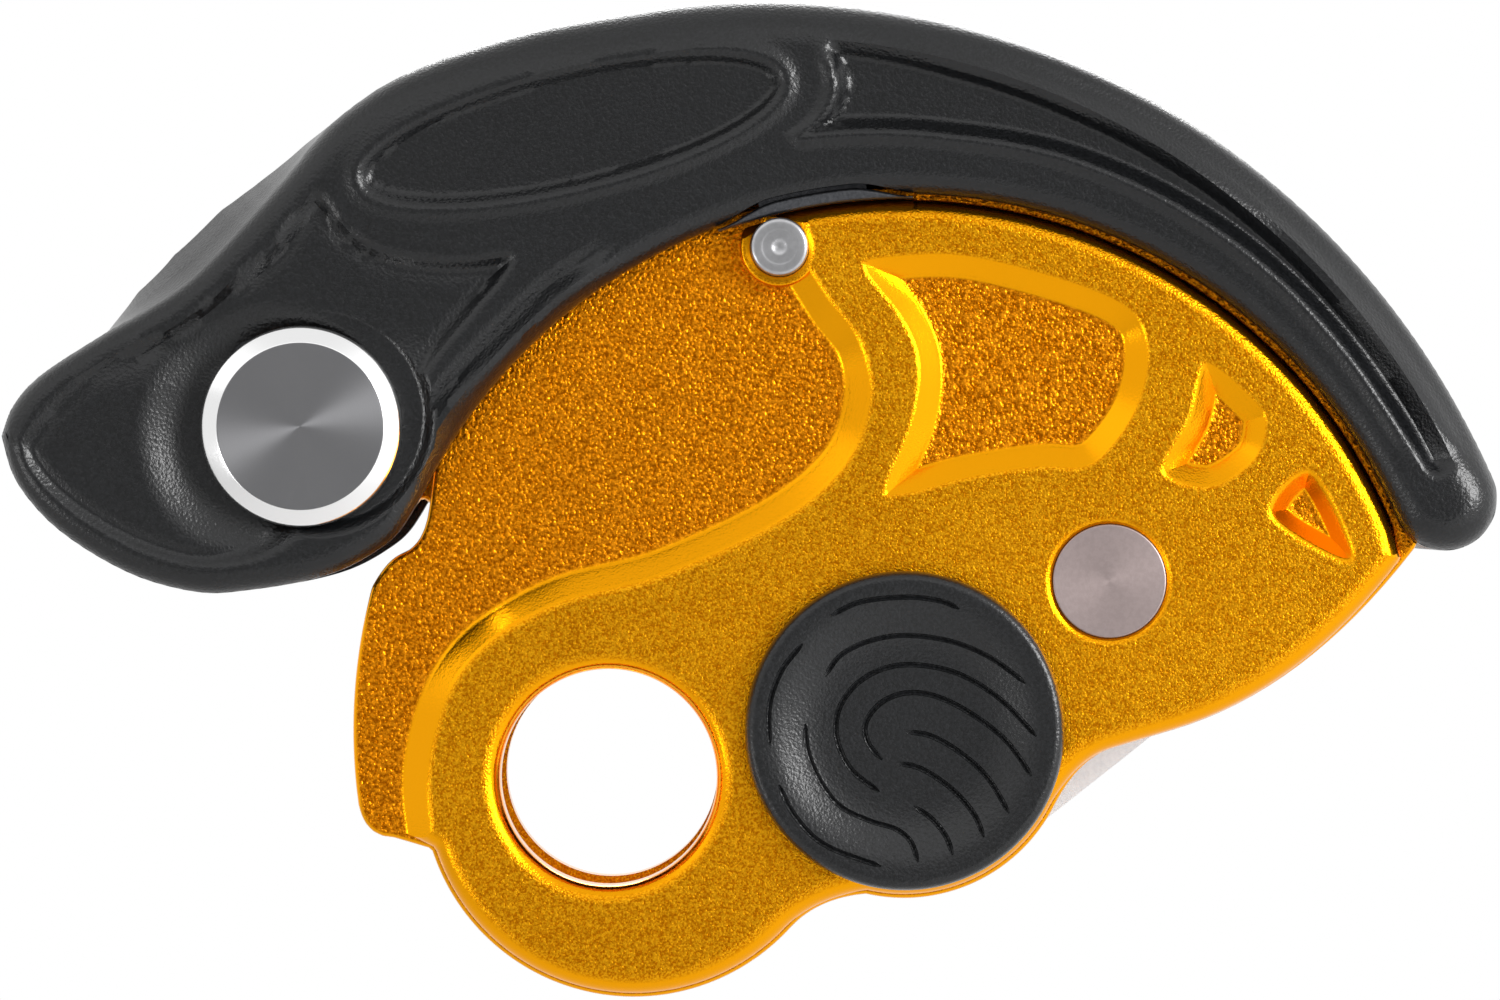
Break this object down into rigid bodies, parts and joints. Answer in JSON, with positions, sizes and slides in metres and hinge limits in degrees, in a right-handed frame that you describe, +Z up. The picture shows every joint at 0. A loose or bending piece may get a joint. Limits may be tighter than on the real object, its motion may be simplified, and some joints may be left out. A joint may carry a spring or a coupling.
{
  "type": "assisted braking belay device",
  "caption": "Rope brake with two side plates on a pivot, a dished thumb rest, a carabiner eye, an inner brake shoe and a curved release handle on a large pin.",
  "frame": {"origin": "centre of the carabiner eye, midway between the side plates", "axes": "+X from the handle's nose towards its tip, +Z up from the eye towards the handle, -Y out of the front plate"},
  "size_m": [0.1132, 0.0302, 0.0756],
  "materials": {
    "gold": "satin gold anodised, blasted",
    "moulded": "fine-grained moulded handle compound",
    "turned_steel": "turned stainless steel",
    "plain_steel": "plain stainless steel",
    "dark_steel": "dark coated steel",
    "bronze": "sintered bearing bronze",
    "spring_steel": "drawn spring wire"
  },
  "bodies": {
    "rear": {"rear_plate": "gold", "pivot_post": "turned_steel", "rope_drum": "turned_steel", "retaining_clip": "spring_steel", "brake_shoe": "plain_steel", "shoe_rivet_lower": "turned_steel", "shoe_rivet_upper": "turned_steel", "rope_guide": "turned_steel", "handle_pin": "turned_steel", "pin_head_rear": "turned_steel", "hub_bush": "turned_steel", "handle_spring": "spring_steel", "spring_anchor": "turned_steel"},
    "swing": {"front_plate": "gold", "drum_washer": "bronze", "plate_bush": "bronze", "retaining_washer": "dark_steel", "thumb_cap": "moulded", "rope_pin": "plain_steel", "stop_stud": "turned_steel"},
    "handle": {"handle_shell": "moulded", "handle_leaf_front": "dark_steel", "handle_leaf_rear": "dark_steel", "eye_bush_front": "bronze", "eye_bush_rear": "bronze"}
  },
  "joints": [
    {"name": "plate_swing", "type": "hinge", "parent": "rear", "child": "swing", "pos_m": [0.0224, 0, 0.0036], "axis": [0, 1, 0], "range_deg": [-12, 75]},
    {"name": "handle_turn", "type": "hinge", "parent": "rear", "child": "handle", "pos_m": [-0.02314, 0, 0.02656], "axis": [0, -1, 0], "range_deg": [0, 85], "stiffness_Nm_per_rad": 0.045, "springref_deg": -63.03}
  ]
}
